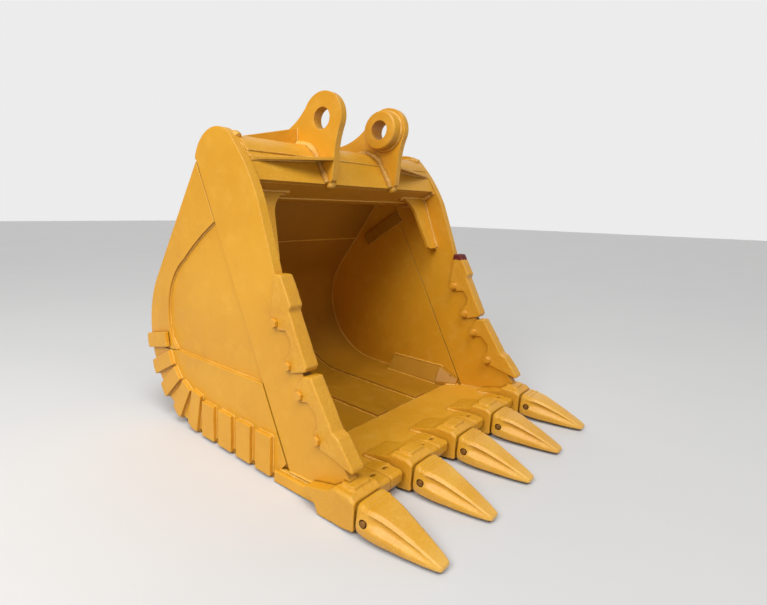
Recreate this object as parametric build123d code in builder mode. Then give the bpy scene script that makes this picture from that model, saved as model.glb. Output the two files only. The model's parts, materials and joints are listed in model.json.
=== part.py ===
from build123d import *
import os
from math import atan2, cos, degrees, hypot, radians, sin, sqrt

# Rock bucket for a 40 to 45 tonne excavator, in millimetres.
# The origin is the middle of the arm pin's bore: +X runs across the bucket,
# the teeth point to -Y, and +Z is up. "left" is the -X side.

# ---- driving dimensions ----
WIDTH = 1500                    # over the two side bars
BAR_T = 45                      # side bar, the thick front strip of each side
CHEEK_OUT = WIDTH / 2 - 13      # outer face of the thinner side plate
OVERLAY_T = 15                  # raised band welded on the side plate
WEAR_T = 18                     # raised lower wear plate
PAD_T = 22                      # shroud pad on the wear plate
WRAP_T = 25                     # wrapper plate
GROUND_Z = -1529                # the plane the bucket rests on

HEEL = (325, -1045)             # centre of the heel's curve in the side view (Y, Z)
HEEL_IN_R = 418                 # inside of the wrapper
RIM_R = 462                     # edge of the side plates
SHOE_R = HEEL[1] - GROUND_Z     # outside of the heel shrouds
BACK_TILT = 34.33               # the straight back's lean, from the vertical
BACK_DIR = (-sin(radians(BACK_TILT)), cos(radians(BACK_TILT)))
SEAM_TOP = (326, -215)          # seam between side bar and side plate, top end
SEAM_LOW = (-318, -1474)        # and its low end, on the lip

TOP_C, TOP_R = (185, -235), 158  # round top of the side bar
TUBE_C, TUBE_R = (140, -250), 140
TUBE_NOSE = (-51, -303)         # the tube section's front lower corner
TUBE_WALL = 20

PIN_R = 50                      # arm and link pin bores, 100 mm pins
LINK = (440, -160)              # link pin axis
EAR_OUT, EAR_IN = 276, 238      # faces of each ear plate
BOSS_R = 100                    # weld-on pin bosses inside the ears
BOSS_T = {-1: 18, 1: 62}        # a plain ring on the left ear, the thick hub on the right one

PITCH = 360                     # tooth spacing
TOOTH_X = [PITCH * (i - 2) for i in range(5)]
SEAM_Y = -686                   # adapter shoulder, where the tooth box starts
TOOTH_PIN = (-726, -1459)
TOOTH_PIN_R, TOOTH_PIN_LEN = 11, 172
HOLE_GAP = 0.06                 # running clearance round a tooth pin
ADAPTER_HALF = 84
LIP_BACK_Y, LIP_FRONT_Y = -245, -640
LIP_SLOPE = 30 / 395            # the lip rises to the front
LIP_TOP, LIP_T = -1470, 45      # top at its back edge, and thickness

BOLTS = [(-230, -864), (-310, -1021), (-374, -1121), (-471, -1268)]
LEG_T = 13                      # protector leg each side of the bar
BOLT_R, HEAD_AF, HEAD_H = 12, 36, 15

os.makedirs("parts", exist_ok=True)


def finish(builder, name):
    """Label a finished piece and write its STEP file."""
    builder.part.label = name
    export_step(builder.part, f"parts/{name}.step")


def side(x):
    """Side-view plane at x: sketch x is Y, sketch y is Z, extruding towards +X."""
    return Plane.YZ.offset(x)


def span(half, outer, inner):
    """Start plane and thickness of a plate between two distances, on either side."""
    low = min(half * outer, half * inner)
    return side(low), abs(outer - inner)


def lip_top(y):
    return LIP_TOP + (LIP_BACK_Y - y) * LIP_SLOPE


def back_point(radius, along):
    """Point on the straight back, 'radius' from the heel centre, 'along' up from the heel."""
    n = (BACK_DIR[1], -BACK_DIR[0])
    return (HEEL[0] + radius * n[0] + along * BACK_DIR[0],
            HEEL[1] + radius * n[1] + along * BACK_DIR[1])


def heel_point(radius, angle):
    return (HEEL[0] + radius * cos(radians(angle)), HEEL[1] + radius * sin(radians(angle)))


HEEL_MID = (BACK_TILT - 90) / 2


def on_circle(centre, radius, angle):
    return (centre[0] + radius * cos(radians(angle)), centre[1] + radius * sin(radians(angle)))


# ---- lip ----
with BuildPart() as cutting_edge:
    with BuildSketch(side(-WIDTH / 2)):
        with BuildLine():
            Polyline((LIP_BACK_Y, LIP_TOP), (LIP_FRONT_Y + 60, lip_top(LIP_FRONT_Y + 60)),
                     (LIP_FRONT_Y, lip_top(LIP_FRONT_Y) - 22), (LIP_FRONT_Y, lip_top(LIP_FRONT_Y) - 32),
                     (LIP_FRONT_Y + 12, lip_top(LIP_FRONT_Y) - LIP_T),
                     (LIP_BACK_Y, LIP_TOP - LIP_T), close=True)
        make_face()
    extrude(amount=WIDTH)
finish(cutting_edge, "cutting_edge")

# ---- torque tube: a rolled shell with a flat front plate and a flat bottom plate ----
tube_axis = hypot(TUBE_NOSE[0] - TUBE_C[0], TUBE_NOSE[1] - TUBE_C[1])
tube_turn = degrees(atan2(TUBE_NOSE[1] - TUBE_C[1], TUBE_NOSE[0] - TUBE_C[0])) % 360
open_half = degrees(atan2(sqrt(tube_axis ** 2 - TUBE_R ** 2), TUBE_R))
FRONT_TANGENT = on_circle(TUBE_C, TUBE_R, tube_turn - open_half)
LOW_TANGENT = on_circle(TUBE_C, TUBE_R, tube_turn + open_half)
INNER_HALF = WIDTH / 2 - BAR_T

with BuildPart() as tube_body:                  # the section as one solid, to cut its neighbours
    with BuildSketch(side(-INNER_HALF)):
        with BuildLine():
            Polyline(LOW_TANGENT, TUBE_NOSE, FRONT_TANGENT)
            ThreePointArc(FRONT_TANGENT, on_circle(TUBE_C, TUBE_R, tube_turn - 180), LOW_TANGENT)
        make_face()
    extrude(amount=2 * INNER_HALF)


def flat_tube_plate(start, end, inward):
    """A flat plate of the tube's wall between two corners of its section."""
    with BuildPart() as plate:
        with BuildSketch(side(-INNER_HALF)):
            with BuildLine():
                Polyline(start, end, (end[0] + inward[0], end[1] + inward[1]),
                         (start[0] + inward[0], start[1] + inward[1]), close=True)
            make_face()
        extrude(amount=2 * INNER_HALF)
    return plate


def inward_of(angle):
    return (-TUBE_WALL * cos(radians(angle)), -TUBE_WALL * sin(radians(angle)))


tube_front_plate = flat_tube_plate(TUBE_NOSE, FRONT_TANGENT, inward_of(tube_turn - open_half))
bottom_blank = flat_tube_plate(LOW_TANGENT, TUBE_NOSE, inward_of(tube_turn + open_half))
with BuildPart() as tube_bottom_plate:
    add(bottom_blank.part)
    add(tube_front_plate.part, mode=Mode.SUBTRACT)
    add(tube_bottom_plate.solids().sort_by(SortBy.VOLUME)[0], mode=Mode.SUBTRACT)
finish(tube_front_plate, "tube_front_plate")
finish(tube_bottom_plate, "tube_bottom_plate")

with BuildPart() as torque_tube:
    with BuildSketch(side(-INNER_HALF)):
        with BuildLine():
            outer = ThreePointArc(FRONT_TANGENT, on_circle(TUBE_C, TUBE_R, tube_turn - 180), LOW_TANGENT)
            inner = ThreePointArc(on_circle(TUBE_C, TUBE_R - TUBE_WALL, tube_turn - open_half),
                                  on_circle(TUBE_C, TUBE_R - TUBE_WALL, tube_turn - 180),
                                  on_circle(TUBE_C, TUBE_R - TUBE_WALL, tube_turn + open_half))
            Line(outer @ 0, inner @ 0)
            Line(outer @ 1, inner @ 1)
        make_face()
    extrude(amount=2 * INNER_HALF)
finish(torque_tube, "torque_tube")

# ---- wrapper: a flat back plate, then the rolled heel and floor ----
SEAM_ALONG = 230                # height of the wrapper's seam, up the straight back
TUBE_ALONG = 745                # the plate's top end, behind the tube
with BuildPart() as wrapper_upper:
    with BuildSketch(side(-INNER_HALF)):
        with BuildLine():
            Polyline(back_point(HEEL_IN_R, SEAM_ALONG), back_point(HEEL_IN_R, TUBE_ALONG),
                     back_point(HEEL_IN_R + WRAP_T, TUBE_ALONG),
                     back_point(HEEL_IN_R + WRAP_T, SEAM_ALONG), close=True)
        make_face()
    extrude(amount=2 * INNER_HALF)
    add(tube_body.part, mode=Mode.SUBTRACT)
finish(wrapper_upper, "wrapper_upper")

FLOOR_Z = HEEL[1] - HEEL_IN_R
with BuildPart() as wrapper_lower:
    with BuildSketch(side(-INNER_HALF)):
        with BuildLine():
            inside = Polyline(back_point(HEEL_IN_R, SEAM_ALONG), back_point(HEEL_IN_R, 0))
            ThreePointArc(inside @ 1, heel_point(HEEL_IN_R, HEEL_MID), (HEEL[0], FLOOR_Z))
            Line((HEEL[0], FLOOR_Z), (LIP_BACK_Y, LIP_TOP - 6))
            Line((LIP_BACK_Y, LIP_TOP - 6), (LIP_BACK_Y, LIP_TOP - 6 - WRAP_T))
            Line((LIP_BACK_Y, LIP_TOP - 6 - WRAP_T), (HEEL[0], FLOOR_Z - WRAP_T))
            outside = Polyline(back_point(HEEL_IN_R + WRAP_T, 0), back_point(HEEL_IN_R + WRAP_T, SEAM_ALONG))
            ThreePointArc((HEEL[0], FLOOR_Z - WRAP_T), heel_point(HEEL_IN_R + WRAP_T, HEEL_MID), outside @ 0)
            Line(outside @ 1, inside @ 0)
        make_face()
    extrude(amount=2 * INNER_HALF)
finish(wrapper_lower, "wrapper_lower")

# ---- teeth and adapters ----


def cross(x, y, z):
    """Plane across a tooth at y, looking out of the bucket, with sketch y as Z."""
    return Plane(origin=(x, y, z), x_dir=(1, 0, 0), z_dir=(0, -1, 0))


RECESS_X, RECESS_T = 54, 12     # retainer's recess in the side of each nose
RETAINER_R, RETAINER_T = 17, 8
NOSE = [(SEAM_Y + 4, 132, 88, -1456), (-850, 76, 34, -1484)]        # y, width, height, z
TOOTH = [(SEAM_Y - 3, 168, 112, -1455), (-742, 176, 118, -1460), (-800, 150, 100, -1469),
         (-880, 108, 62, -1487), (-960, 66, 34, -1501), (-992, 44, 17, -1509)]
POCKET_GAP = 2


def make_adapter(x):
    with BuildPart() as adapter:
        with BuildSketch(side(x - ADAPTER_HALF)):
            with BuildLine():
                Polyline((-455, lip_top(-455)), (-455, lip_top(-455) + 14), (-560, -1412), (-592, -1386),
                         (-664, -1388), (SEAM_Y, -1402), (SEAM_Y, -1511), (-640, -1520), (-520, -1526),
                         (-506, lip_top(-506) - LIP_T), close=True)
            make_face()
        extrude(amount=2 * ADAPTER_HALF)
        add(cutting_edge.part, mode=Mode.SUBTRACT)
        flanks = adapter.edges().filter_by(Axis.Z, reverse=True).filter_by(
            lambda e: abs(abs(e.center().X - x) - ADAPTER_HALF) < 0.1 and e.center().Z > -1420)
        chamfer(flanks, 9)
        with BuildSketch(Plane.XY.offset(-1400)) as boss:
            with Locations((x, -628)):
                RectangleRounded(104, 66, 16)
        extrude(amount=26, taper=8)
        for y, width, height, z in NOSE:
            with BuildSketch(cross(x, y, z)):
                RectangleRounded(width, height, 0.2 * height)
        loft(ruled=True)
        with Locations(Plane(origin=(x, *TOOTH_PIN), z_dir=(1, 0, 0))):
            Cylinder(TOOTH_PIN_R + HOLE_GAP, 3 * ADAPTER_HALF, mode=Mode.SUBTRACT)
            with Locations((0, 0, -RECESS_X)):
                Cylinder(RETAINER_R, 2 * RECESS_T, mode=Mode.SUBTRACT)
    return adapter


def make_tooth(x):
    with BuildPart() as tooth:
        for y, width, height, z in TOOTH:
            with BuildSketch(cross(x, y, z)):
                RectangleRounded(width, height, 0.2 * height)
        loft(ruled=True)
        with BuildSketch(cross(x, NOSE[0][0], NOSE[0][3])):
            RectangleRounded(NOSE[0][1] + 2 * POCKET_GAP, NOSE[0][2] + 2 * POCKET_GAP, 18)
        with BuildSketch(cross(x, NOSE[1][0] - 4, NOSE[1][3])):
            RectangleRounded(NOSE[1][1] + 2 * POCKET_GAP, NOSE[1][2] + 2 * POCKET_GAP, 7)
        loft(ruled=True, mode=Mode.SUBTRACT)
        with Locations(Plane(origin=(x, *TOOTH_PIN), z_dir=(1, 0, 0))):
            Cylinder(TOOTH_PIN_R + HOLE_GAP, 3 * ADAPTER_HALF, mode=Mode.SUBTRACT)
    return tooth


def make_pin(x):
    with BuildPart() as pin:
        with Locations(Plane(origin=(x, *TOOTH_PIN), z_dir=(1, 0, 0))):
            Cylinder(TOOTH_PIN_R, TOOTH_PIN_LEN)
        chamfer(pin.edges().filter_by(GeomType.CIRCLE), 1.5)
    return pin


adapters = [make_adapter(x) for x in TOOTH_X]
for number, x in enumerate(TOOTH_X, start=1):
    finish(adapters[number - 1], f"adapter_{number}")
    finish(make_tooth(x), f"tooth_{number}")
    finish(make_pin(x), f"tooth_pin_{number}")

with BuildPart() as pin_retainers:              # a spring washer in each nose's side recess
    for x in TOOTH_X:
        with Locations(Plane(origin=(x - RECESS_X + RECESS_T - RETAINER_T / 2, *TOOTH_PIN), z_dir=(1, 0, 0))):
            Cylinder(RETAINER_R, RETAINER_T)
            Cylinder(TOOTH_PIN_R + HOLE_GAP, 2 * RETAINER_T, mode=Mode.SUBTRACT)
finish(pin_retainers, "pin_retainers")

# ---- lip shrouds: two side by side between each pair of adapters ----
SHROUD_W = 80


def make_lip_shroud(x):
    with BuildPart() as shroud:
        with BuildSketch(side(x - SHROUD_W / 2)):
            with BuildLine():
                Polyline((-515, lip_top(-515)), (-519, lip_top(-519) + 12), (-590, lip_top(-590) + 20),
                         (-652, -1424), (-662, -1434), (-660, -1468), (-640, -1498), (-590, -1512),
                         (-560, lip_top(-560) - LIP_T), close=True)
            make_face()
        extrude(amount=SHROUD_W)
        add(cutting_edge.part, mode=Mode.SUBTRACT)
        with BuildSketch(Plane.XY.offset(-1440)):
            with Locations((x, -600)):
                SlotOverall(34, 14)
        extrude(amount=60, mode=Mode.SUBTRACT)
        nose = shroud.edges().filter_by(Axis.X, reverse=True).filter_by(
            lambda e: e.center().Y < -585 and e.center().Z > -1470 and abs(e.center().X - x) > 39)
        chamfer(nose, 7)
    return shroud


gap_middles = [PITCH * (i - 1.5) for i in range(4)]
for gap, middle in enumerate(gap_middles):
    for place, offset in enumerate((-1, 1)):
        shroud = make_lip_shroud(middle + offset * (SHROUD_W / 2 + 1))
        finish(shroud, f"lip_shroud_{2 * gap + place + 1}")

# ---- sides, built once per side ----
bar_front_top = on_circle(TOP_C, TOP_R, 142)
TRANSITION, KNEE, TOE = (-105, -385), (-205, -655), (-604, -1345)


def rim_line():
    """The side plate's outer edge: straight back, heel and flat bottom, to the lip's back."""
    start = SEAM_TOP
    tangent = back_point(RIM_R, 0)
    Line(start, tangent)
    ThreePointArc(tangent, heel_point(RIM_R, HEEL_MID), (HEEL[0], HEEL[1] - RIM_R))
    return (HEEL[0], HEEL[1] - RIM_R)


def seam_y(z):
    t = (z - SEAM_TOP[1]) / (SEAM_LOW[1] - SEAM_TOP[1])
    return SEAM_TOP[0] + t * (SEAM_LOW[0] - SEAM_TOP[0])


def protector(half, name, outline, corner):
    """Cast edge guard: a nose with two lobed legs that straddle the side bar."""
    plane, thick = span(half, WIDTH / 2 + LEG_T, INNER_HALF - LEG_T)
    with BuildPart() as guard:
        with BuildSketch(plane) as shape:
            with BuildLine():
                Polyline(*outline, close=True)
            make_face()
            fillet(shape.vertices(), corner)
        extrude(amount=thick)
        front = guard.faces().filter_by(Axis.X).edges().filter_by(lambda e: e.center().Y < front_limit(e))
        chamfer(front, 4)
        add(bars[half].part, mode=Mode.SUBTRACT)
        bolt_holes(half)
    finish(guard, name)


def front_limit(edge):
    """Front of the bar at an edge's height, so only the nose's edges are chamfered."""
    z = edge.center().Z
    return TOE[0] + (KNEE[0] - TOE[0]) * (z - TOE[1]) / (KNEE[1] - TOE[1]) - 30


def bolt_holes(half):
    for y, z in BOLTS:
        with Locations(Plane(origin=(half * (WIDTH / 2 - BAR_T / 2), y, z), z_dir=(1, 0, 0))):
            Cylinder(BOLT_R, 3 * BAR_T, mode=Mode.SUBTRACT)


UPPER_GUARD = [(-256, -671), (-214, -671), (-207, -760), (-198, -838), (-206, -880), (-250, -892),
               (-288, -888), (-318, -925), (-312, -968), (-284, -1000), (-288, -1040), (-330, -1047),
               (-398, -1026), (-408, -1006), (-308, -806), (-316, -784)]
LOWER_GUARD = [(-430, -1036), (-388, -1042), (-350, -1096), (-348, -1134), (-378, -1148), (-418, -1140),
               (-462, -1180), (-466, -1222), (-446, -1248), (-450, -1290), (-606, -1330), (-644, -1336),
               (-640, -1318), (-572, -1230), (-546, -1216)]

bars = {}
for half, word in ((-1, "left"), (1, "right")):
    plane, thick = span(half, WIDTH / 2, INNER_HALF)
    corner_adapter = adapters[0] if half < 0 else adapters[-1]
    with BuildPart() as side_bar:
        with BuildSketch(plane):
            with BuildLine():
                Line(SEAM_TOP, on_circle(TOP_C, TOP_R, 12))
                ThreePointArc(on_circle(TOP_C, TOP_R, 12), on_circle(TOP_C, TOP_R, 77), bar_front_top)
                ThreePointArc(bar_front_top, (-32, -255), TRANSITION)
                Line(TRANSITION, KNEE)
                ThreePointArc(KNEE, (-376, -1035), TOE)
                Polyline(TOE, (-632, -1385), (-632, lip_top(-632)), (SEAM_LOW[0], lip_top(SEAM_LOW[0])), SEAM_TOP)
            make_face()
        extrude(amount=thick)
        add(cutting_edge.part, mode=Mode.SUBTRACT)
        add(corner_adapter.part, mode=Mode.SUBTRACT)
        bolt_holes(half)
    bars[half] = side_bar
    finish(side_bar, f"side_bar_{word}")

    plane, thick = span(half, CHEEK_OUT, INNER_HALF)
    with BuildPart() as side_plate:
        with BuildSketch(plane):
            with BuildLine():
                low = rim_line()
                Polyline(low, (SEAM_LOW[0] - 6, HEEL[1] - RIM_R), SEAM_LOW, SEAM_TOP)
            make_face()
        extrude(amount=thick)
        add(cutting_edge.part, mode=Mode.SUBTRACT)
        slices = side_plate.solids().sort_by(SortBy.VOLUME)[:-1]
        for piece in slices:
            add(piece, mode=Mode.SUBTRACT)
    finish(side_plate, f"side_plate_{word}")

    # raised band round the back of the side plate
    plane, thick = span(half, CHEEK_OUT + OVERLAY_T, CHEEK_OUT)
    with BuildPart() as side_band:
        with BuildSketch(plane):
            with BuildLine():
                top = (seam_y(-484) + 0.5, -484)
                rise = Line(top, (SEAM_TOP[0] + 3, SEAM_TOP[1] - 1.5))
                back = Line(rise @ 1, back_point(RIM_R, 0))
                end_angle = -14
                rim = ThreePointArc(back @ 1, heel_point(RIM_R, (BACK_TILT + end_angle) / 2),
                                    heel_point(RIM_R, end_angle))
                foot = Line(rim @ 1, (580, -1157))
                lower = Polyline(foot @ 1, (520, -1148), (570, -1100))
                ThreePointArc(lower @ 1, (600, -905), (449, -674))
                ThreePointArc((449, -674), (315, -565), top)
            make_face()
        extrude(amount=thick)
    finish(side_band, f"side_band_{word}")

    # lower wear plate, up to the seam
    plane, thick = span(half, CHEEK_OUT + WEAR_T, CHEEK_OUT)
    with BuildPart() as wear:
        with BuildSketch(plane):
            with BuildLine():
                corner = (520, -1150)
                top = Polyline((seam_y(-1140) + 1, -1140), corner, (582, -1160), heel_point(RIM_R, -14.3))
                ThreePointArc(top @ 1, heel_point(RIM_R, -52), (HEEL[0], HEEL[1] - RIM_R))
                Polyline((HEEL[0], HEEL[1] - RIM_R), (LIP_BACK_Y, HEEL[1] - RIM_R),
                         (seam_y(-1440) + 1, -1440), top @ 0)
            make_face()
        extrude(amount=thick)
        add(cutting_edge.part, mode=Mode.SUBTRACT)
    finish(wear, f"side_wear_plate_{word}")

    # guards, and the runner along the corner's foot
    protector(half, f"side_guard_upper_{word}", UPPER_GUARD, 7)
    protector(half, f"side_guard_lower_{word}", LOWER_GUARD, 6)
    plane, thick = span(half, WIDTH / 2 + 24, WIDTH / 2)
    with BuildPart() as runner:
        with BuildSketch(plane):
            with BuildLine():
                Polyline((-252, -1478), (-252, GROUND_Z), (-587, GROUND_Z + 15), (-587, -1463), close=True)
            make_face()
        extrude(amount=thick)
        add(corner_adapter.part, mode=Mode.SUBTRACT)
        add(wear.part, mode=Mode.SUBTRACT)
        long_edges = runner.edges().filter_by(
            lambda e: e.length > 200 and abs(e.center().X) > WIDTH / 2 + 20)
        chamfer(long_edges, 4)
    finish(runner, f"corner_runner_{word}")

# ---- heel shrouds: a pad on the side and a foot round the edge ----
FAN_C = (229, -1062)            # the pads' edges point here
FAN_ANGLES = [-12.7, -28.4, -43.6, -60.9, -79]
FLAT_Y = [172, 39, -94, -227]   # front edges of the pads along the flat bottom
PAD_W, FLAT_W = 78, 96
PAD_IN_R, PAD_TOP_Z = 280, -1342
FOOT_REACH = 100                # how far a foot reaches under the bucket
STEP = 14                       # the pad stops this far above the foot's sole


def reach(angle, radius):
    """Distance from the fan's centre, along 'angle', to a circle about the heel's centre."""
    d = (cos(radians(angle)), sin(radians(angle)))
    f = (FAN_C[0] - HEEL[0], FAN_C[1] - HEEL[1])
    b = f[0] * d[0] + f[1] * d[1]
    return -b + sqrt(b * b - (f[0] ** 2 + f[1] ** 2 - radius ** 2))


for half, word in ((-1, "left"), (1, "right")):
    pad_plane, pad_t = span(half, CHEEK_OUT + WEAR_T + PAD_T, CHEEK_OUT + WEAR_T)
    foot_plane, foot_t = span(half, CHEEK_OUT + WEAR_T, INNER_HALF + BAR_T - FOOT_REACH)
    with BuildPart() as heel_shrouds:
        for angle in FAN_ANGLES:
            inner_r, rim_r, shoe_r = (reach(angle, r) for r in (PAD_IN_R, RIM_R + 1, SHOE_R))
            for plane, thick, start in ((pad_plane, pad_t, inner_r), (foot_plane, foot_t, rim_r - 6)):
                turned = Plane(origin=(plane.origin.X, *FAN_C), x_dir=(0, cos(radians(angle)), sin(radians(angle))),
                               z_dir=(1, 0, 0))
                with BuildSketch(turned):
                    with BuildLine():
                        end = shoe_r - (STEP if plane is pad_plane else 0)
                        Polyline((start, 0), (end, 0), (end + 3, PAD_W / 2), (end - 6, PAD_W),
                                 (start, PAD_W), close=True)
                    make_face()
                extrude(amount=thick)
        for y in FLAT_Y:
            for plane, thick, start in ((pad_plane, pad_t, PAD_TOP_Z), (foot_plane, foot_t, HEEL[1] - RIM_R)):
                with BuildSketch(plane):
                    with BuildLine():
                        end = GROUND_Z + (STEP if plane is pad_plane else 0)
                        Polyline((y, start), (y + FLAT_W, start), (y + FLAT_W, end), (y, end), close=True)
                    make_face()
                extrude(amount=thick)
        rim_x = half * (CHEEK_OUT + WEAR_T - WIDTH / 8)
        with Locations(Plane(origin=(rim_x, *HEEL), z_dir=(1, 0, 0))):
            Cylinder(RIM_R, WIDTH / 4, mode=Mode.SUBTRACT)
        with Locations((rim_x, HEEL[0] - 100, HEEL[1] - RIM_R + 50)):
            Box(WIDTH / 4, 200, 100, mode=Mode.SUBTRACT)
    finish(heel_shrouds, f"heel_shrouds_{word}")


# ---- ears, with weld-on bosses for the arm pin and the link pin ----
EAR_R, LINK_R = 122, 112        # lobes round the two bores
EAR_T = EAR_OUT - EAR_IN
for half, word in ((-1, "left"), (1, "right")):
    plane, thick = span(half, EAR_OUT, EAR_IN)
    with BuildPart() as ear:
        with BuildSketch(plane):
            with BuildLine():
                lobe = ThreePointArc(on_circle((0, 0), EAR_R, 196), (0, EAR_R), on_circle((0, 0), EAR_R, 30))
                saddle = ThreePointArc(lobe @ 1, (212, -25), on_circle(LINK, LINK_R, 112))
                rear = ThreePointArc(saddle @ 1, on_circle(LINK, LINK_R, 50), on_circle(LINK, LINK_R, -8))
                tail = Line(rear @ 1, back_point(HEEL_IN_R + WRAP_T + 22, 165))
                Polyline(tail @ 1, back_point(HEEL_IN_R + WRAP_T - 6, 150), back_point(HEEL_IN_R + 12, 735),
                         TUBE_C, TUBE_NOSE, (-60, -304), (-79, -285))
                Line((-79, -285), (-88, -170))
                ThreePointArc((-88, -170), (-98, -95), lobe @ 0)
            make_face()
        extrude(amount=thick)
        for neighbour in (tube_body, wrapper_upper, wrapper_lower):
            add(neighbour.part, mode=Mode.SUBTRACT)
        for axis in ((0, 0), LINK):
            with Locations(Plane(origin=(0, *axis), z_dir=(1, 0, 0))):
                Cylinder(PIN_R, 2 * WIDTH, mode=Mode.SUBTRACT)
    finish(ear, f"ear_{word}")

for name, axis in (("arm_pin_bosses", (0, 0)), ("link_pin_bosses", LINK)):
    with BuildPart() as bosses:
        for half in (-1, 1):
            with Locations(Plane(origin=(half * (EAR_IN - BOSS_T[half] / 2), *axis), z_dir=(1, 0, 0))):
                Cylinder(BOSS_R, BOSS_T[half])
        chamfer(bosses.edges().filter_by(GeomType.CIRCLE).filter_by(lambda e: abs(e.center().X) < EAR_IN - 1), 7)
        with Locations(Plane(origin=(0, *axis), z_dir=(1, 0, 0))):
            Cylinder(PIN_R, 2 * WIDTH, mode=Mode.SUBTRACT)
    finish(bosses, name)

# ---- ribs from each ear out to the side ----
RIB_Y, RIB_T, SHELF_T = 165, 20, 14
SHELF_RUN = INNER_HALF - EAR_OUT + 1
with BuildPart() as rear_ribs:
    with BuildSketch(Plane(origin=(0, RIB_Y + RIB_T / 2, 0), x_dir=(1, 0, 0), z_dir=(0, -1, 0))):
        with BuildLine():
            Polyline((EAR_OUT, -30), (352, -47), (510, -81), (626, -106), (650, -118), (EAR_OUT, -118), close=True)
        make_face()
        mirror(about=Plane.YZ)
    extrude(amount=RIB_T)
    add(tube_body.part, mode=Mode.SUBTRACT)
finish(rear_ribs, "rear_ribs")

with BuildPart() as front_ribs:
    for half in (-1, 1):
        shelf = Plane(origin=(half * EAR_OUT, 0, -190), x_dir=(half * SHELF_RUN, 0, -25),
                      z_dir=(half * 25, 0, SHELF_RUN))
        low = -1 if half > 0 else 1             # the sketch's y runs the other way on the left
        with BuildSketch(shelf):
            with BuildLine():
                Polyline((0, low * 88), (0, -low * 60), (SHELF_RUN, -low * 60), (SHELF_RUN, low * 4),
                         (SHELF_RUN - 14, low * 8), close=True)
            make_face()
        extrude(amount=SHELF_T / 2, both=True)
    add(tube_body.part, mode=Mode.SUBTRACT)
    for half in (-1, 1):
        for x in (half * (EAR_OUT - EAR_T / 2), half * (INNER_HALF + BAR_T / 2)):
            with Locations((x, 0, -200)):
                Box(EAR_T if abs(x) < INNER_HALF else BAR_T, 400, 200, mode=Mode.SUBTRACT)
finish(front_ribs, "front_ribs")

# ---- knee gussets, where the tube meets each side ----
GUSSET_T = 20
gusset_dir = (-109 / 303.3, -283 / 303.3)
with BuildPart() as knee_gussets:
    for half in (-1, 1):
        knee = Plane(origin=(0, 16, -352), x_dir=(half, 0, 0), z_dir=(0, -gusset_dir[1], gusset_dir[0]))
        way = 1 if knee.y_dir.Z < 0 else -1     # sketch y that points down the gusset
        with BuildSketch(knee):
            with BuildLine():
                top = Line((440, way * -30), (455, way * -10))
                ThreePointArc(top @ 1, (535, way * 26), (577, way * 108))
                Polyline((577, way * 108), (610, way * 300), (622, way * 312), (INNER_HALF, way * 312),
                         (INNER_HALF, way * -30), top @ 0)
            make_face()
        extrude(amount=GUSSET_T)
    add(tube_body.part, mode=Mode.SUBTRACT)
finish(knee_gussets, "knee_gussets")

# ---- inside: a brace bar on each side plate, floor wear strips and corner strips ----
BRACE = ((185, -457), (438, -626))
BRACE_W, BRACE_T = 70, 20
brace_turn = degrees(atan2(BRACE[1][1] - BRACE[0][1], BRACE[1][0] - BRACE[0][0]))
brace_len = hypot(BRACE[1][1] - BRACE[0][1], BRACE[1][0] - BRACE[0][0])
with BuildPart() as corner_braces:
    for half in (-1, 1):
        plane, thick = span(half, INNER_HALF, INNER_HALF - BRACE_T)
        with BuildSketch(plane):
            with Locations(Location(((BRACE[0][0] + BRACE[1][0]) / 2, (BRACE[0][1] + BRACE[1][1]) / 2),
                                    brace_turn)):
                RectangleRounded(brace_len, BRACE_W, 6)
        extrude(amount=thick)
finish(corner_braces, "corner_braces")

STRIP_W, STRIP_T, STRIP_END = 90, 16, -56
with BuildPart() as floor_wear_strips:
    for x in TOOTH_X[1:4]:
        with BuildSketch(side(x - STRIP_W / 2)):
            with BuildLine():
                Line((LIP_BACK_Y + 6, LIP_TOP - 6), (HEEL[0], FLOOR_Z))
                ThreePointArc((HEEL[0], FLOOR_Z), heel_point(HEEL_IN_R, (STRIP_END - 90) / 2),
                              heel_point(HEEL_IN_R, STRIP_END))
                Line(heel_point(HEEL_IN_R, STRIP_END), heel_point(HEEL_IN_R - STRIP_T, STRIP_END))
                ThreePointArc(heel_point(HEEL_IN_R - STRIP_T, STRIP_END),
                              heel_point(HEEL_IN_R - STRIP_T, (STRIP_END - 90) / 2),
                              (HEEL[0], FLOOR_Z + STRIP_T))
                Polyline((HEEL[0], FLOOR_Z + STRIP_T), (LIP_BACK_Y + 6, LIP_TOP - 6 + STRIP_T),
                         (LIP_BACK_Y + 6, LIP_TOP - 6))
            make_face()
        extrude(amount=STRIP_W)
        add(wrapper_lower.part, mode=Mode.SUBTRACT)
finish(floor_wear_strips, "floor_wear_strips")

CORNER_LEG = 85
CORNER_FRONT, CORNER_BACK, CAP_FRONT = -190, 163, -300
with BuildPart() as corner_strips:              # sloped plate along the floor's corner
    for half in (-1, 1):
        with BuildSketch(Plane(origin=(0, CORNER_FRONT, 0), x_dir=(1, 0, 0), z_dir=(0, -1, 0))):
            with BuildLine():
                Polyline((half * INNER_HALF, FLOOR_Z - 14), (half * (INNER_HALF - CORNER_LEG), FLOOR_Z - 14),
                         (half * (INNER_HALF - CORNER_LEG), FLOOR_Z + 2),
                         (half * INNER_HALF, FLOOR_Z + CORNER_LEG), close=True)
            make_face()
        extrude(amount=CORNER_FRONT - CORNER_BACK)
    add(wrapper_lower.part, mode=Mode.SUBTRACT)
finish(corner_strips, "corner_strips")

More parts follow.
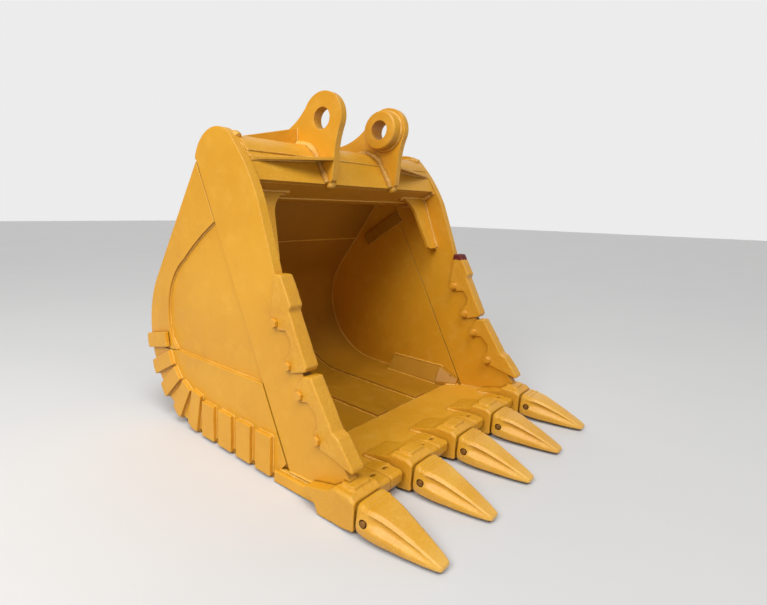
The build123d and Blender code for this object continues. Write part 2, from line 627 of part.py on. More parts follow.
with BuildPart() as corner_caps:                # block that closes each strip's front end
    for half in (-1, 1):
        for y, leg in ((CORNER_FRONT, CORNER_LEG), (CAP_FRONT, 30)):
            with BuildSketch(Plane(origin=(0, y, 0), x_dir=(1, 0, 0), z_dir=(0, -1, 0))):
                with BuildLine():
                    Polyline((half * INNER_HALF, FLOOR_Z - 14), (half * (INNER_HALF - leg), FLOOR_Z - 14),
                             (half * (INNER_HALF - leg), FLOOR_Z + 8), (half * (INNER_HALF - leg / 2), FLOOR_Z + leg),
                             (half * INNER_HALF, FLOOR_Z + leg), close=True)
                make_face()
        loft(ruled=True)
    for neighbour in (wrapper_lower, cutting_edge):
        add(neighbour.part, mode=Mode.SUBTRACT)
finish(corner_caps, "corner_caps")

# ---- the side guards' bolts and nuts ----
NUT_H, WASHER_R, WASHER_T = 19, 24, 4
with BuildPart() as guard_bolts:
    for half in (-1, 1):
        outer_leg = half * (WIDTH / 2 + LEG_T)
        inner_leg = half * (INNER_HALF - LEG_T)
        for y, z in BOLTS:
            with BuildSketch(Plane(origin=(outer_leg, y, z), z_dir=(half, 0, 0))):
                RegularPolygon(HEAD_AF / sqrt(3), 6)
            extrude(amount=HEAD_H, taper=4)
            with BuildSketch(Plane(origin=(outer_leg, y, z), z_dir=(-half, 0, 0))):
                Circle(BOLT_R)
            extrude(amount=abs(outer_leg - inner_leg) + WASHER_T + NUT_H + 6)
finish(guard_bolts, "guard_bolts")

with BuildPart() as guard_nuts:
    for half in (-1, 1):
        for y, z in BOLTS:
            face = Plane(origin=(half * (INNER_HALF - LEG_T), y, z), z_dir=(-half, 0, 0))
            with BuildSketch(face):
                Circle(WASHER_R)
                Circle(BOLT_R, mode=Mode.SUBTRACT)
            extrude(amount=WASHER_T)
            with BuildSketch(face.offset(WASHER_T)):
                RegularPolygon(HEAD_AF / sqrt(3), 6)
                Circle(BOLT_R, mode=Mode.SUBTRACT)
            extrude(amount=NUT_H)
finish(guard_nuts, "guard_nuts")
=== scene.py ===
import json
import math
import random

import bmesh
import bpy
from mathutils import Matrix, Vector, noise
from mathutils.bvhtree import BVHTree


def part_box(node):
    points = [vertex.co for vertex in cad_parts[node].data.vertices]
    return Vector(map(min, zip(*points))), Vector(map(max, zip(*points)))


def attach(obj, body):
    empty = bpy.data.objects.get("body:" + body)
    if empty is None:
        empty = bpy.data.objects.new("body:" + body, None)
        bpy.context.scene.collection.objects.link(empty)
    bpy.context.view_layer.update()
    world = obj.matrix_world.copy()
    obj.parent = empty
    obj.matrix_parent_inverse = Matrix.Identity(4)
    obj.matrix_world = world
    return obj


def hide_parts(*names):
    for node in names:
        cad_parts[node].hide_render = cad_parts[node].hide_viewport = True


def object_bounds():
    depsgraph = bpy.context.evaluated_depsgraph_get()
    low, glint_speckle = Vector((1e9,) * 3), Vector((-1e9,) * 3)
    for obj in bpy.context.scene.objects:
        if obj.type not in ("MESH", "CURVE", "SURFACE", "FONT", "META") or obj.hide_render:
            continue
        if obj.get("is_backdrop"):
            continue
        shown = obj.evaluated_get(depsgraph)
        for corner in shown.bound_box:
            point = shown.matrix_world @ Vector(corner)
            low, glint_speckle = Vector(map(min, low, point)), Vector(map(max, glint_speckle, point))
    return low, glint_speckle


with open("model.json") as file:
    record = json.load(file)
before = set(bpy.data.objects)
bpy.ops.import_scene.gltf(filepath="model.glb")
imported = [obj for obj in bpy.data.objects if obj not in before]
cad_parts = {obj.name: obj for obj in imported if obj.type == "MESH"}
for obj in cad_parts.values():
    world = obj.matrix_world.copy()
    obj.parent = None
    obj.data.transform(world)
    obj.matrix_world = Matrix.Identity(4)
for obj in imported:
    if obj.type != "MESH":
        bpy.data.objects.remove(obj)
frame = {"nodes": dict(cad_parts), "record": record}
NODES = frame["nodes"]
RECORD = frame["record"]
SLOT_OF = {s["node"]: s["material_slot"] for s in RECORD["subparts"]}
BODY_OF = {n: b for b, names in RECORD["behaviour"]["bodies"].items() for n in names}
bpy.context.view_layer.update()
LO, HI = (Vector(v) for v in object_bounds())
random.seed(7)

# ---------------------------------------------------------------- materials


class Nodes:
    """Short-hand for building one material's node tree."""

    def __init__(self, name):
        self.mat = bpy.data.materials.new(name)
        self.mat.use_nodes = True
        self.tree = self.mat.node_tree
        self.tree.nodes.clear()
        self.out = self.new("ShaderNodeOutputMaterial")
        self.bsdf = self.new("ShaderNodeBsdfPrincipled")
        self.link(self.bsdf.outputs["BSDF"], self.out.inputs["Surface"])
        self.where = self.new("ShaderNodeNewGeometry")

    def new(self, kind, **props):
        node = self.tree.nodes.new(kind)
        for key, value in props.items():
            setattr(node, key, value)
        return node

    def link(self, a, b):
        self.tree.links.new(a, b)

    def put(self, socket, value):
        if isinstance(value, bpy.types.NodeSocket):
            self.link(value, socket)
        else:
            socket.default_value = value

    def stretched(self, scale):
        m = self.new("ShaderNodeMapping")
        m.inputs["Scale"].default_value = scale
        self.link(self.where.outputs["Position"], m.inputs["Vector"])
        return m.outputs["Vector"]

    def noise(self, scale, detail=4.0, rough=0.55, vector=None):
        n = self.new("ShaderNodeTexNoise")
        n.inputs["Scale"].default_value = scale
        n.inputs["Detail"].default_value = detail
        n.inputs["Roughness"].default_value = rough
        self.link(vector or self.where.outputs["Position"], n.inputs["Vector"])
        return n.outputs["Fac"]

    def span(self, value, a, b, c=0.0, d=1.0):
        n = self.new("ShaderNodeMapRange")
        self.link(value, n.inputs["Value"])
        for key, v in (("From Min", a), ("From Max", b), ("To Min", c), ("To Max", d)):
            n.inputs[key].default_value = v
        return n.outputs["Result"]

    def math(self, op, a, b=0.0):
        n = self.new("ShaderNodeMath", operation=op)
        self.put(n.inputs[0], a)
        self.put(n.inputs[1], b)
        return n.outputs["Value"]

    def mix(self, fac, a, b):
        n = self.new("ShaderNodeMix", data_type="RGBA")
        self.put(n.inputs["Factor"], fac)
        self.put(n.inputs["A"], a)
        self.put(n.inputs["B"], b)
        return n.outputs["Result"]

    def bump(self, height, distance, strength=1.0, normal=None):
        n = self.new("ShaderNodeBump")
        n.inputs["Distance"].default_value = distance
        n.inputs["Strength"].default_value = strength
        self.link(height, n.inputs["Height"])
        if normal:
            self.link(normal, n.inputs["Normal"])
        return n.outputs["Normal"]

    def occlusion_shade(self, reach):
        """Painted shade mask from ambient occlusion: 1 deep in a gap or an inner corner, 0 on open faces."""
        ao = self.new("ShaderNodeAmbientOcclusion", samples=6)
        ao.inputs["Distance"].default_value = reach
        return self.span(ao.outputs["AO"], 0.62, 0.12)

    def edge_mask(self, radius):
        """1 on worn outer edges, 0 on flats, from how far a rounded normal leaves the true one."""
        bevel = self.new("ShaderNodeBevel", samples=4)
        bevel.inputs["Radius"].default_value = radius
        dot = self.new("ShaderNodeVectorMath", operation="DOT_PRODUCT")
        self.link(bevel.outputs["Normal"], dot.inputs[0])
        self.link(self.where.outputs["Normal"], dot.inputs[1])
        return self.span(dot.outputs["Value"], 0.99, 0.90), bevel.outputs["Normal"]


def rgb(r, g, b):
    """sRGB 0 to 1 as a linear colour."""
    return tuple(c / 12.92 if c <= 0.04045 else ((c + 0.055) / 1.055) ** 2.4 for c in (r, g, b)) + (1.0,)


def paint(name, base, light, dark, rough=0.42, orange_peel=0.0004, cut_edges=False, lumps=0.0,
          worn_tip=False, wear=0.35, gap_shade=0.85):
    n = Nodes(name)
    big = n.noise(2.3, 3.0)
    mid = n.noise(14.0, 5.0, 0.6)
    fine = n.noise(260.0, 2.0)
    colour = n.mix(n.span(big, 0.35, 0.68), dark, base)
    colour = n.mix(n.math("MULTIPLY", n.span(mid, 0.5, 0.74), 0.26), colour, light)
    scuff = n.noise(1.0, 6.0, 0.7, n.stretched((22.0, 9.0, 60.0)))
    colour = n.mix(n.math("MULTIPLY", n.span(scuff, 0.63, 0.76), 0.22), colour, rgb(0.98, 0.86, 0.62))
    grime = n.noise(5.5, 8.0, 0.68)
    colour = n.mix(n.math("MULTIPLY", n.span(grime, 0.57, 0.78), 0.16), colour, rgb(0.52, 0.33, 0.10))
    edge, soft = n.edge_mask(0.004)
    chips = n.span(n.noise(55.0, 5.0, 0.7), 0.50, 0.60)
    worn = n.math("MULTIPLY", n.math("MULTIPLY", edge, chips), wear)
    colour = n.mix(n.math("MULTIPLY", edge, 0.30), colour, light)
    colour = n.mix(worn, colour, rgb(0.93, 0.80, 0.56))
    if worn_tip:
        split = n.new("ShaderNodeSeparateXYZ")
        n.link(n.where.outputs["Position"], split.inputs[0])
        tip = n.span(n.math("ADD", split.outputs["Y"], n.math("MULTIPLY", mid, 0.05)),
                     LO.y + 0.11, LO.y + 0.02)
        colour = n.mix(n.math("MULTIPLY", tip, 0.35), colour, rgb(0.93, 0.76, 0.45))
    facing = n.new("ShaderNodeSeparateXYZ")
    n.link(n.where.outputs["True Normal"], facing.inputs[0])
    if cut_edges:                           # flame-cut faces get a painted highlight: a paler, speckled skin
        across = n.span(n.math("ABSOLUTE", facing.outputs["X"]), 0.5, 0.2)
        cut_face_glints = n.span(n.noise(150.0, 4.0, 0.7), 0.45, 0.62)
        colour = n.mix(n.math("MULTIPLY", n.math("MULTIPLY", across, cut_face_glints), 0.38), colour, light)
    if lumps:                               # painted highlight: pale speckle over the rough sand-cast skin
        glint_speckle = n.span(n.noise(120.0, 5.0, 0.75), 0.50, 0.68)
        colour = n.mix(n.math("MULTIPLY", glint_speckle, 0.42), colour, light)
    underside_shade = n.span(facing.outputs["Z"], -0.25, -0.80)        # painted shade: faces turned downwards are darkened towards dark brown
    colour = n.mix(n.math("MULTIPLY", underside_shade, 0.62), colour, rgb(0.46, 0.27, 0.03))
    # painted shade: gaps and inner corners are darkened to dark brown by ambient occlusion
    colour = n.mix(n.math("MULTIPLY", n.occlusion_shade(0.022), gap_shade), colour, rgb(0.27, 0.13, 0.02))
    n.put(n.bsdf.inputs["Base Color"], colour)
    n.put(n.bsdf.inputs["Roughness"], n.math("ADD", n.span(mid, 0.3, 0.7, rough - 0.07, rough + 0.10),
                                             n.math("MULTIPLY", n.span(fine, 0.3, 0.7), 0.05)))
    n.bsdf.inputs["Coat Weight"].default_value = 0.12
    n.bsdf.inputs["Coat Roughness"].default_value = 0.30
    normal = n.bump(n.noise(330.0, 2.0), orange_peel, 0.6, soft)
    normal = n.bump(n.noise(38.0, 3.0), 0.0012, 0.35, normal)
    if lumps:
        normal = n.bump(n.noise(90.0, 3.0), lumps, 0.8, normal)
        normal = n.bump(n.noise(210.0, 5.0, 0.75), lumps * 0.7, 0.9, normal)
    if cut_edges:
        ridges = n.noise(1.0, 2.0, 0.5, n.stretched((14.0, 420.0, 420.0)))
        normal = n.bump(n.math("MULTIPLY", ridges, across), 0.0016, 0.8, normal)
    n.link(normal, n.bsdf.inputs["Normal"])
    return n.mat


def bare_steel(name, base, rough, metal=0.75):
    n = Nodes(name)
    colour = n.mix(n.noise(60.0, 5.0, 0.65), base, rgb(0.42, 0.27, 0.12))
    n.put(n.bsdf.inputs["Base Color"], colour)
    n.bsdf.inputs["Metallic"].default_value = metal
    n.put(n.bsdf.inputs["Roughness"], n.span(n.noise(140.0), 0.3, 0.7, rough - 0.08, rough + 0.12))
    n.link(n.bump(n.noise(300.0, 3.0), 0.0005), n.bsdf.inputs["Normal"])
    return n.mat


YELLOW = rgb(0.885, 0.635, 0.125)
BRIGHT = rgb(0.945, 0.735, 0.290)
OCHRE = rgb(0.850, 0.595, 0.100)
MATS = {
    "painted_plate": paint("plate_paint", YELLOW, BRIGHT, OCHRE, cut_edges=True),
    # painted shade: the inside paint is a darker copy of the yellow
    "painted_inside": paint("shaded_bowl_paint", rgb(0.72, 0.50, 0.05), rgb(0.79, 0.57, 0.11), rgb(0.66, 0.45, 0.03),
                            rough=0.5),
    "cast_guards": paint("cast_paint", YELLOW, BRIGHT, OCHRE, rough=0.33, lumps=0.0030, orange_peel=0.0010),
    "cast_teeth": paint("tooth_paint", rgb(0.900, 0.665, 0.170), rgb(0.965, 0.790, 0.400), OCHRE, rough=0.30,
                        lumps=0.0014, orange_peel=0.0008, worn_tip=True, wear=0.6),
    "painted_bolts": paint("bolt_paint", rgb(0.86, 0.60, 0.14), BRIGHT, OCHRE, rough=0.36, gap_shade=0.35),
    "pin_steel": bare_steel("pin_metal", rgb(0.66, 0.44, 0.15), 0.42, 0.35),
    "spring_steel": bare_steel("retainer_metal", rgb(0.35, 0.35, 0.37), 0.4),
}
# painted highlight: the weld beads get a lighter copy of the yellow paint
LIT_WELD = paint("weld_highlight_paint", rgb(0.92, 0.69, 0.23), rgb(0.98, 0.84, 0.52), rgb(0.84, 0.59, 0.14), rough=0.30,
             lumps=0.0014, gap_shade=0.4)
RED = paint("red_primer", rgb(0.46, 0.09, 0.05), rgb(0.60, 0.16, 0.08), rgb(0.34, 0.06, 0.04), rough=0.6)

# ---------------------------------------------------------------- pieces made from the frame's own shapes


def clean_copy(name):
    """A welded, dissolved bmesh of one frame node, in the shared frame."""
    src = NODES[name]
    bm = bmesh.new()
    bm.from_mesh(src.data)
    bm.transform(src.matrix_world)
    bmesh.ops.remove_doubles(bm, verts=bm.verts, dist=2e-5)
    bmesh.ops.dissolve_limit(bm, angle_limit=math.radians(0.6), verts=bm.verts, edges=bm.edges)
    return bm


def add_object(name, bm, body, slot, smooth=35.0):
    mesh = bpy.data.meshes.new(name)
    bm.to_mesh(mesh)
    bm.free()
    mesh.polygons.foreach_set("use_smooth", [True] * len(mesh.polygons))
    mesh.set_sharp_from_angle(angle=math.radians(smooth))
    obj = bpy.data.objects.new(name, mesh)
    bpy.context.scene.collection.objects.link(obj)
    obj.data.materials.append(MATS[slot])
    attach(obj, body)
    return obj


def apply_modifiers(obj):
    deps = bpy.context.evaluated_depsgraph_get()
    mesh = bpy.data.meshes.new_from_object(obj.evaluated_get(deps))
    obj.modifiers.clear()
    obj.data = mesh


def plate(name, width=0.0022, segments=3):
    """A plate with its arrises broken, as they are after grinding and paint."""
    obj = add_object("look_" + name, clean_copy(name), BODY_OF[name], SLOT_OF[name])
    bevel = obj.modifiers.new("arris", "BEVEL")
    bevel.width = width
    bevel.segments = segments
    bevel.limit_method = "ANGLE"
    bevel.angle_limit = math.radians(32)
    bevel.use_clamp_overlap = False
    bevel.harden_normals = True
    bevel.miter_outer = "MITER_ARC"
    apply_modifiers(obj)
    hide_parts(name)
    return obj


def casting(name, voxel=0.0042, rounds=4, lump=0.0009):
    """A cast piece: the same form with softened corners and a slightly uneven skin."""
    obj = add_object("look_" + name, clean_copy(name), BODY_OF[name], SLOT_OF[name], smooth=180)
    remesh = obj.modifiers.new("skin", "REMESH")
    remesh.mode = "VOXEL"
    remesh.voxel_size = voxel
    remesh.use_smooth_shade = True
    smooth = obj.modifiers.new("soften", "SMOOTH")
    smooth.factor = 0.5
    smooth.iterations = rounds
    apply_modifiers(obj)
    roughen(obj, lump, *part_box(name))
    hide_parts(name)
    return obj


def roughen(obj, lump, lo, hi):
    """Push the skin in and out along its normals by up to about lump, inside the piece's box."""
    seed = Vector((random.random() * 40, 0, 0))
    for v in obj.data.vertices:
        offset = noise.noise(v.co * 26 + seed) * lump + noise.noise(v.co * 90 + seed) * lump * 0.35
        p = v.co + v.normal * offset
        v.co = Vector(min(max(p[i], lo[i]), hi[i]) for i in range(3))


def middle(name):
    lo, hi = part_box(name)
    return (Vector(lo) + Vector(hi)) / 2


def same_casting(source, name, mirrored=False):
    """Another piece of the same casting, moved across the bucket, or mirrored to the other side."""
    mesh = source.data.copy()
    if mirrored:
        mesh.transform(Matrix.Diagonal((-1, 1, 1, 1)))
        mesh.flip_normals()
    else:
        first = source.name.removeprefix("look_")
        mesh.transform(Matrix.Translation((middle(name).x - middle(first).x, 0, 0)))
    obj = bpy.data.objects.new("look_" + name, mesh)
    bpy.context.scene.collection.objects.link(obj)
    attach(obj, BODY_OF[name])
    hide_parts(name)
    return obj


PIN_HOLE_R = 0.0148
CUTTER_LENGTH = 0.5


def tooth_look(name):
    """A forged point: flat stepped top, ridge lines down each flank over a tapering flute, flat bottom."""
    lo, hi = (Vector(v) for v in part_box(name))
    x0, back, tip = (lo.x + hi.x) / 2, hi.y, lo.y
    rows = [
        # along, top, bottom, half width, flute, top half width
        (0.000, 0.006, 0.112, 0.080, 0.00, 0.80), (0.010, 0.0005, 0.114, 0.0840, 0.00, 0.80),
        (0.024, 0.0000, 0.116, 0.0860, 0.05, 0.78), (0.028, 0.0055, 0.116, 0.0862, 0.10, 0.77),
        (0.044, 0.0040, 0.116, 0.0862, 0.20, 0.76), (0.048, 0.0095, 0.116, 0.0862, 0.30, 0.74),
        (0.064, 0.0080, 0.1175, 0.0855, 0.65, 0.70), (0.092, 0.0130, 0.119, 0.0835, 1.00, 0.64),
        (0.130, 0.0250, 0.119, 0.0745, 1.00, 0.60), (0.175, 0.0430, 0.1195, 0.0645, 0.95, 0.58),
        (0.215, 0.0600, 0.1195, 0.0545, 0.75, 0.60), (0.250, 0.0760, 0.119, 0.0450, 0.45, 0.64),
        (0.278, 0.0890, 0.1185, 0.0370, 0.15, 0.70), (0.295, 0.0980, 0.1175, 0.0295, 0.0, 0.76),
        (0.3025, 0.1030, 0.1150, 0.0240, 0.0, 0.80)]
    bm = bmesh.new()
    rings = []
    for along, top, low, half, flute, flat in rows:
        z1, z0 = hi.z - top, hi.z - low
        h = z1 - z0
        side = [(flat * half * 0.5, z1), (flat * half, z1 - 0.012 * h),
                ((flat + 1) / 2 * half, z1 - 0.13 * h),
                ((0.93 - 0.30 * flute) * half, z1 - (0.24 + 0.08 * flute) * h), (0.99 * half, z1 - 0.56 * h),
                (half, z1 - 0.72 * h), (0.94 * half, z0 + 0.07 * h), (0.80 * half, z0), (0.4 * half, z0)]
        ring = [(x, z) for x, z in side] + [(-x, z) for x, z in reversed(side)]
        rings.append([bm.verts.new((x0 + x, back - along, z)) for x, z in ring])
    n = len(rings[0])
    for a, b in zip(rings, rings[1:]):
        for k in range(n):
            bm.faces.new((a[k], a[(k + 1) % n], b[(k + 1) % n], b[k]))
    bm.faces.new(rings[-1])
    bm.faces.new(list(reversed(rings[0])))
    bmesh.ops.recalc_face_normals(bm, faces=bm.faces)
    crease = bm.edges.layers.float.new("crease_edge")
    for a, b in zip(rings[3:], rings[4:]):
        for k, amount in ((1, 0.55), (2, 0.75), (4, 0.35), (6, 0.3)):
            for side_k in (k, n - 1 - k):
                bm.edges.get((a[side_k], b[side_k]))[crease] = amount
    for ring in rings[1:6]:
        for k in (-3, -2, -1, 0, 1, 2):
            bm.edges.get((ring[k], ring[k - 1]))[crease] = 0.6
    obj = add_object("look_" + name, bm, BODY_OF[name], SLOT_OF[name], smooth=180)
    subdivide = obj.modifiers.new("form", "SUBSURF")
    subdivide.levels = subdivide.render_levels = 3
    cutter_mesh = bmesh.new()
    pin = middle(name.replace("tooth_", "tooth_pin_"))
    turn = Matrix.Translation((x0, pin.y, pin.z)) @ Matrix.Rotation(math.radians(90), 4, "Y")
    bmesh.ops.create_cone(cutter_mesh, cap_ends=True, segments=40, radius1=PIN_HOLE_R, radius2=PIN_HOLE_R,
                          depth=CUTTER_LENGTH, matrix=turn)
    mesh = bpy.data.meshes.new("pin_hole")
    cutter_mesh.to_mesh(mesh)
    cutter_mesh.free()
    cutter = bpy.data.objects.new("pin_hole", mesh)
    bpy.context.scene.collection.objects.link(cutter)
    hole = obj.modifiers.new("hole", "BOOLEAN")
    hole.operation = "DIFFERENCE"
    hole.solver = "EXACT"
    hole.object = cutter
    apply_modifiers(obj)
    bpy.data.objects.remove(cutter)
    roughen(obj, 0.0007, lo, hi)
    obj.data.set_sharp_from_angle(angle=math.radians(50))
    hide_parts(name)
    return obj


# ---------------------------------------------------------------- weld beads


def surface_of(names):
    """A search tree over the triangles of several frame nodes."""
    tree_verts, tree_faces = [], []
    for name in names:
        src = NODES[name]
        base = len(tree_verts)
        tree_verts += [src.matrix_world @ v.co for v in src.data.vertices]
        src.data.calc_loop_triangles()
        tree_faces += [[base + i for i in t.vertices] for t in src.data.loop_triangles]
    return BVHTree.FromPolygons(tree_verts, tree_faces)


def seams(name, others, reach=0.0009, keep=None):
    """Chains of the node's own sharp edges that lie on its neighbours' surfaces."""
    near = surface_of(others)
    bm = clean_copy(name)
    links = {}
    for e in bm.edges:
        if len(e.link_faces) == 2 and e.calc_face_angle(0.0) < math.radians(25):
            continue
        a, b = (v.co.copy() for v in e.verts)
        samples = (a, (a + b) / 2, b)
        if any(near.find_nearest(p, reach)[0] is None for p in samples):
            continue
        if keep and not keep((a + b) / 2):
            continue
        i, j = (v.index for v in e.verts)
        links.setdefault(i, []).append(j)
        links.setdefault(j, []).append(i)
    bm.verts.ensure_lookup_table()
    places = {i: bm.verts[i].co.copy() for i in links}
    bm.free()
    chains, used = [], set()
    order = sorted(links, key=lambda i: (len(links[i]) == 2, i))
    for start in order:
        for step in links[start]:
            if (min(start, step), max(start, step)) in used:
                continue
            chain, here, prev = [start], step, start
            used.add((min(start, step), max(start, step)))
            while True:
                chain.append(here)
                onward = [k for k in links[here] if (min(here, k), max(here, k)) not in used]
                if len(links[here]) != 2 or not onward:
                    break
                bend = (places[here] - places[prev]).angle(places[onward[0]] - places[here], 0.0)
                if bend > math.radians(60):
                    break
                prev, here = here, onward[0]
                used.add((min(prev, here), max(prev, here)))
            chains.append([places[i] for i in chain])
    return chains


def resample(points, step):
    """Points a fixed step apart along a line, with its end kept."""
    out, left = [points[0]], step
    for a, b in zip(points, points[1:]):
        seg = (b - a).length
        at = left
        while at <= seg:
            out.append(a.lerp(b, at / seg))
            at += step
        left = at - seg
    if (out[-1] - points[-1]).length > step * 0.3:
        out.append(points[-1])
    return out


beads = bmesh.new()
SIDES = 10                      # corners of a bead's cross-section
STEPS_PER_RIPPLE = 3.2
FULL_TURN = 6.283
INSET = 0.0005                  # beads stay this far inside the object's box


def bead(points, radius, pitch=0.0085):
    """One rippled weld bead along a line; it stays inside the object's own box."""
    line = resample(points, pitch / STEPS_PER_RIPPLE)
    if len(line) < 4:
        return
    phase = random.random() * 6.28
    rings = []
    up = Vector((0.31, 0.52, 0.80)).normalized()
    for i, p in enumerate(line):
        ahead = (line[min(i + 1, len(line) - 1)] - line[max(i - 1, 0)]).normalized()
        u = ahead.cross(up)
        if u.length < 1e-3:
            u = ahead.cross(Vector((0, 1, 0)))
        u.normalize()
        w = ahead.cross(u)
        end = min(1.0, (i + 0.6) / 2.2, (len(line) - i - 0.4) / 2.2)
        drift = noise.noise(p * 23) * 0.22
        r = radius * end * (1 + 0.13 * math.sin(phase + FULL_TURN * i / STEPS_PER_RIPPLE) + drift)
        shift = (u * noise.noise(p * 31) + w * noise.noise(p * 29 + Vector((5, 0, 0)))) * radius * 0.22
        ring = []
        for k in range(SIDES):
            a = FULL_TURN * k / SIDES
            q = p + shift + (u * math.cos(a) + w * math.sin(a)) * r
            ring.append(beads.verts.new([min(max(q[c], LO[c] + INSET), HI[c] - INSET) for c in range(3)]))
        rings.append(ring)
    for a, b in zip(rings, rings[1:]):
        for k in range(SIDES):
            beads.faces.new((a[k], a[(k + 1) % SIDES], b[(k + 1) % SIDES], b[k]))
    beads.faces.new(list(reversed(rings[0])))
    beads.faces.new(rings[-1])


def weld(name, others, radius, keep=None, least=0.02):
    """Beads along a node's edges where they lie on its neighbours, on lines longer than least."""
    if isinstance(others, str):
        others = [others]
    for chain in seams(name, others, keep=keep):
        if sum((b - a).length for a, b in zip(chain, chain[1:])) > least:
            bead(chain, radius)


LINK_PIN_Y, LINK_PIN_Z = 0.44, -0.16
BORE_CLEAR = 0.08               # no bead nearer to a pin's axis than this
BAR_OUTER = 0.735               # beads between a side bar and its plate are on the outside only
SHROUD_OUTER = 0.757            # beads along a heel shroud's pad are on the side plate only

TUBE = ["torque_tube", "tube_front_plate", "tube_bottom_plate"]
SHELL = ["wrapper_upper", "wrapper_lower"]
for side in ("left", "right"):
    weld(f"ear_{side}", TUBE + SHELL, 0.0200)
    weld(f"side_bar_{side}", [f"side_plate_{side}"], 0.0045, keep=lambda p: abs(p.x) > BAR_OUTER)
    weld(f"side_band_{side}", [f"side_plate_{side}"], 0.0055)
    weld(f"side_wear_plate_{side}", [f"side_plate_{side}"], 0.0055)
    weld(f"heel_shrouds_{side}", [f"side_wear_plate_{side}", f"side_band_{side}"], 0.0050,
         keep=lambda p: abs(p.x) < SHROUD_OUTER)
    weld(f"corner_runner_{side}", [f"side_bar_{side}", "cutting_edge"], 0.0065)
    weld(f"side_bar_{side}", ["cutting_edge"], 0.0060)
inside = ["side_bar_left", "side_bar_right", "side_plate_left", "side_plate_right"]
weld("arm_pin_bosses", ["ear_left", "ear_right"], 0.0105, keep=lambda p: p.yz.length > BORE_CLEAR)
weld("link_pin_bosses", ["ear_left", "ear_right"], 0.0105,
     keep=lambda p: math.hypot(p.y - LINK_PIN_Y, p.z - LINK_PIN_Z) > BORE_CLEAR)
weld("rear_ribs", TUBE + ["ear_left", "ear_right"], 0.0060)
weld("front_ribs", TUBE + ["ear_left", "ear_right"] + inside, 0.0060)
weld("knee_gussets", TUBE + inside, 0.0095)
for part in TUBE:
    weld(part, inside, 0.0180)
weld("tube_front_plate", ["torque_tube"], 0.0050)
weld("tube_bottom_plate", ["torque_tube"], 0.0050)
weld("wrapper_upper", TUBE + inside, 0.0060)
weld("wrapper_lower", ["wrapper_upper"], 0.0050)
weld("wrapper_lower", inside + ["cutting_edge"], 0.0060)
weld("floor_wear_strips", SHELL, 0.0045)
weld("corner_braces", inside, 0.0055)
weld("corner_strips", SHELL + inside, 0.0060)
weld("corner_caps", ["cutting_edge"] + inside, 0.0080)
for k in range(1, 6):
    weld(f"adapter_{k}", ["cutting_edge", "side_bar_left", "side_bar_right"], 0.0100)
for k in range(1, 9):
    weld(f"lip_shroud_{k}", ["cutting_edge"], 0.0065, keep=lambda p: p.y > -0.60)

bead_mesh = add_object("weld_beads", beads, "bucket", "painted_plate", smooth=180)
bead_mesh.data.materials[0] = LIT_WELD

# ---------------------------------------------------------------- build every node's look
tooth = tooth_look("tooth_1")
for k in range(2, 6):
    same_casting(tooth, f"tooth_{k}")
adapter = casting("adapter_2", 0.0036, 2)
for k in (3, 4):
    same_casting(adapter, f"adapter_{k}")
same_casting(casting("adapter_1", 0.0036, 2), "adapter_5", mirrored=True)
shroud = casting("lip_shroud_1", 0.0028, 2)
for k in range(2, 9):
    same_casting(shroud, f"lip_shroud_{k}")
PRIMER_DEPTH, PRIMER_RAGGED = 0.030, 0.010
for level in ("upper", "lower"):
    near = casting(f"side_guard_{level}_left", 0.0034, 2, 0.0014)
    far = same_casting(near, f"side_guard_{level}_right", mirrored=True)
    if level == "upper":                    # its top end is still in primer
        far.data.materials.append(RED)
        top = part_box("side_guard_upper_right")[1][2]
        for face in far.data.polygons:
            if face.center.z > top - PRIMER_DEPTH + PRIMER_RAGGED * noise.noise(face.center * 40):
                face.material_index = 1
done = ("tooth_", "adapter_", "lip_shroud_", "side_guard_")
for name in sorted(NODES):
    if name.startswith("tooth_pin"):
        plate(name, 0.0006)
    elif not name.startswith(done) and name != "pin_retainers":
        plate(name, 0.0012 if name in ("guard_bolts", "guard_nuts") else 0.0022)

# ---------------------------------------------------------------- floor, light and camera
floor_mat = Nodes("pale_floor")
floor_mat.put(floor_mat.bsdf.inputs["Base Color"],
              floor_mat.mix(floor_mat.noise(1.1, 3.0), (0.66, 0.66, 0.66, 1), (0.70, 0.70, 0.695, 1)))
floor_mat.bsdf.inputs["Roughness"].default_value = 0.75
bm = bmesh.new()
bmesh.ops.create_grid(bm, x_segments=8, y_segments=8, size=30)
mesh = bpy.data.meshes.new("floor")
bm.to_mesh(mesh)
bm.free()
floor = bpy.data.objects.new("floor", mesh)
floor.location = (0, 0, LO.z)
floor.data.materials.append(floor_mat.mat)
bpy.context.scene.collection.objects.link(floor)
floor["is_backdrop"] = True

world = bpy.data.worlds.new("studio")
bpy.context.scene.world = world
world.use_nodes = True
sky = world.node_tree
sky.nodes["Background"].inputs["Color"].default_value = (1.0, 1.0, 1.0, 1)
spot = sky.nodes.new("ShaderNodeTexCoord")
along = sky.nodes.new("ShaderNodeVectorMath")
along.operation = "DOT_PRODUCT"
along.inputs[1].default_value = (0.70, 0.70, -0.15)
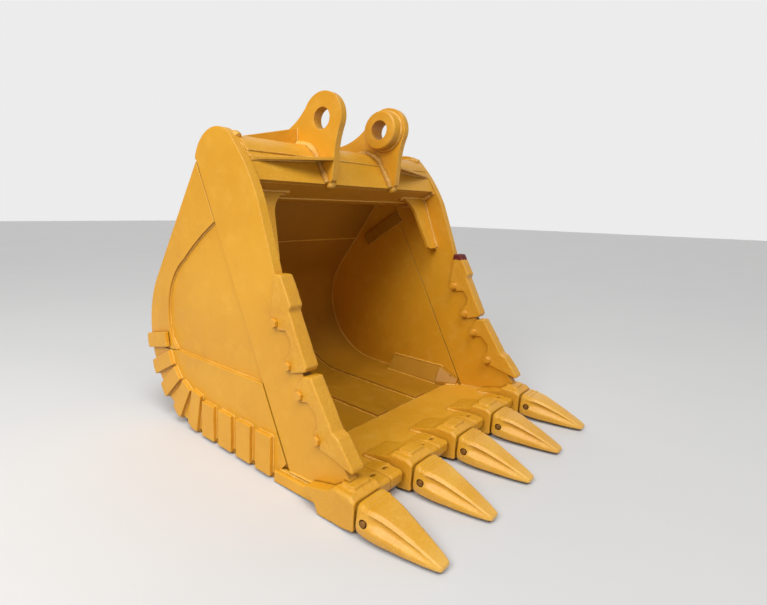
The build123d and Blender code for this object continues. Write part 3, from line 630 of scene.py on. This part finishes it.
level = sky.nodes.new("ShaderNodeMapRange")
for key, value in (("From Min", 0.30), ("From Max", 0.62), ("To Min", 0.20), ("To Max", 0.84)):
    level.inputs[key].default_value = value
sky.links.new(spot.outputs["Generated"], along.inputs[0])
sky.links.new(along.outputs["Value"], level.inputs["Value"])
sky.links.new(level.outputs["Result"], sky.nodes["Background"].inputs["Strength"])


def area(name, where, aim, size, power, colour=(1, 1, 1)):
    data = bpy.data.lights.new(name, "AREA")
    data.shape = "RECTANGLE"
    data.size, data.size_y = size
    data.energy = power
    data.color = colour
    light = bpy.data.objects.new(name, data)
    light.location = where
    light.rotation_euler = (Vector(aim) - Vector(where)).to_track_quat("-Z", "Y").to_euler()
    bpy.context.scene.collection.objects.link(light)


MID = (LO + HI) / 2
area("key", (-4.8, -0.6, 2.2), MID, (2.2, 2.2), 165)
area("fill", (-0.6, -4.4, 4.0), MID, (1.8, 1.8), 28)
sun_data = bpy.data.lights.new("sky", "SUN")
sun_data.energy = 1.65
sun_data.angle = math.radians(35)
sun = bpy.data.objects.new("sky", sun_data)
sun.rotation_euler = Vector((0.30, 0.42, -1.0)).to_track_quat("-Z", "Y").to_euler()
bpy.context.scene.collection.objects.link(sun)

CAMERA_AT = (-2.000, -1.592, -0.4145)
cam_data = bpy.data.cameras.new("camera")
camera = bpy.data.objects.new("camera", cam_data)
bpy.context.scene.collection.objects.link(camera)
bpy.context.scene.camera = camera
RIGHT, UP, AHEAD = (Vector(v).normalized() for v in (
    (0.71236, -0.70152, 0.02009), (0.10255, 0.13237, 0.98588), (0.69428, 0.70024, -0.16624)))
turn = Matrix((RIGHT, UP, -AHEAD)).transposed().to_4x4()
camera.matrix_world = Matrix.Translation(CAMERA_AT) @ turn
cam_data.sensor_width = 36.0
cam_data.lens = 22.53
cam_data.shift_x = 0.1145
cam_data.shift_y = -0.0183
cam_data.clip_start, cam_data.clip_end = 0.05, 100

bpy.context.scene.view_settings.view_transform = "Standard"
bpy.context.scene.view_settings.look = "None"
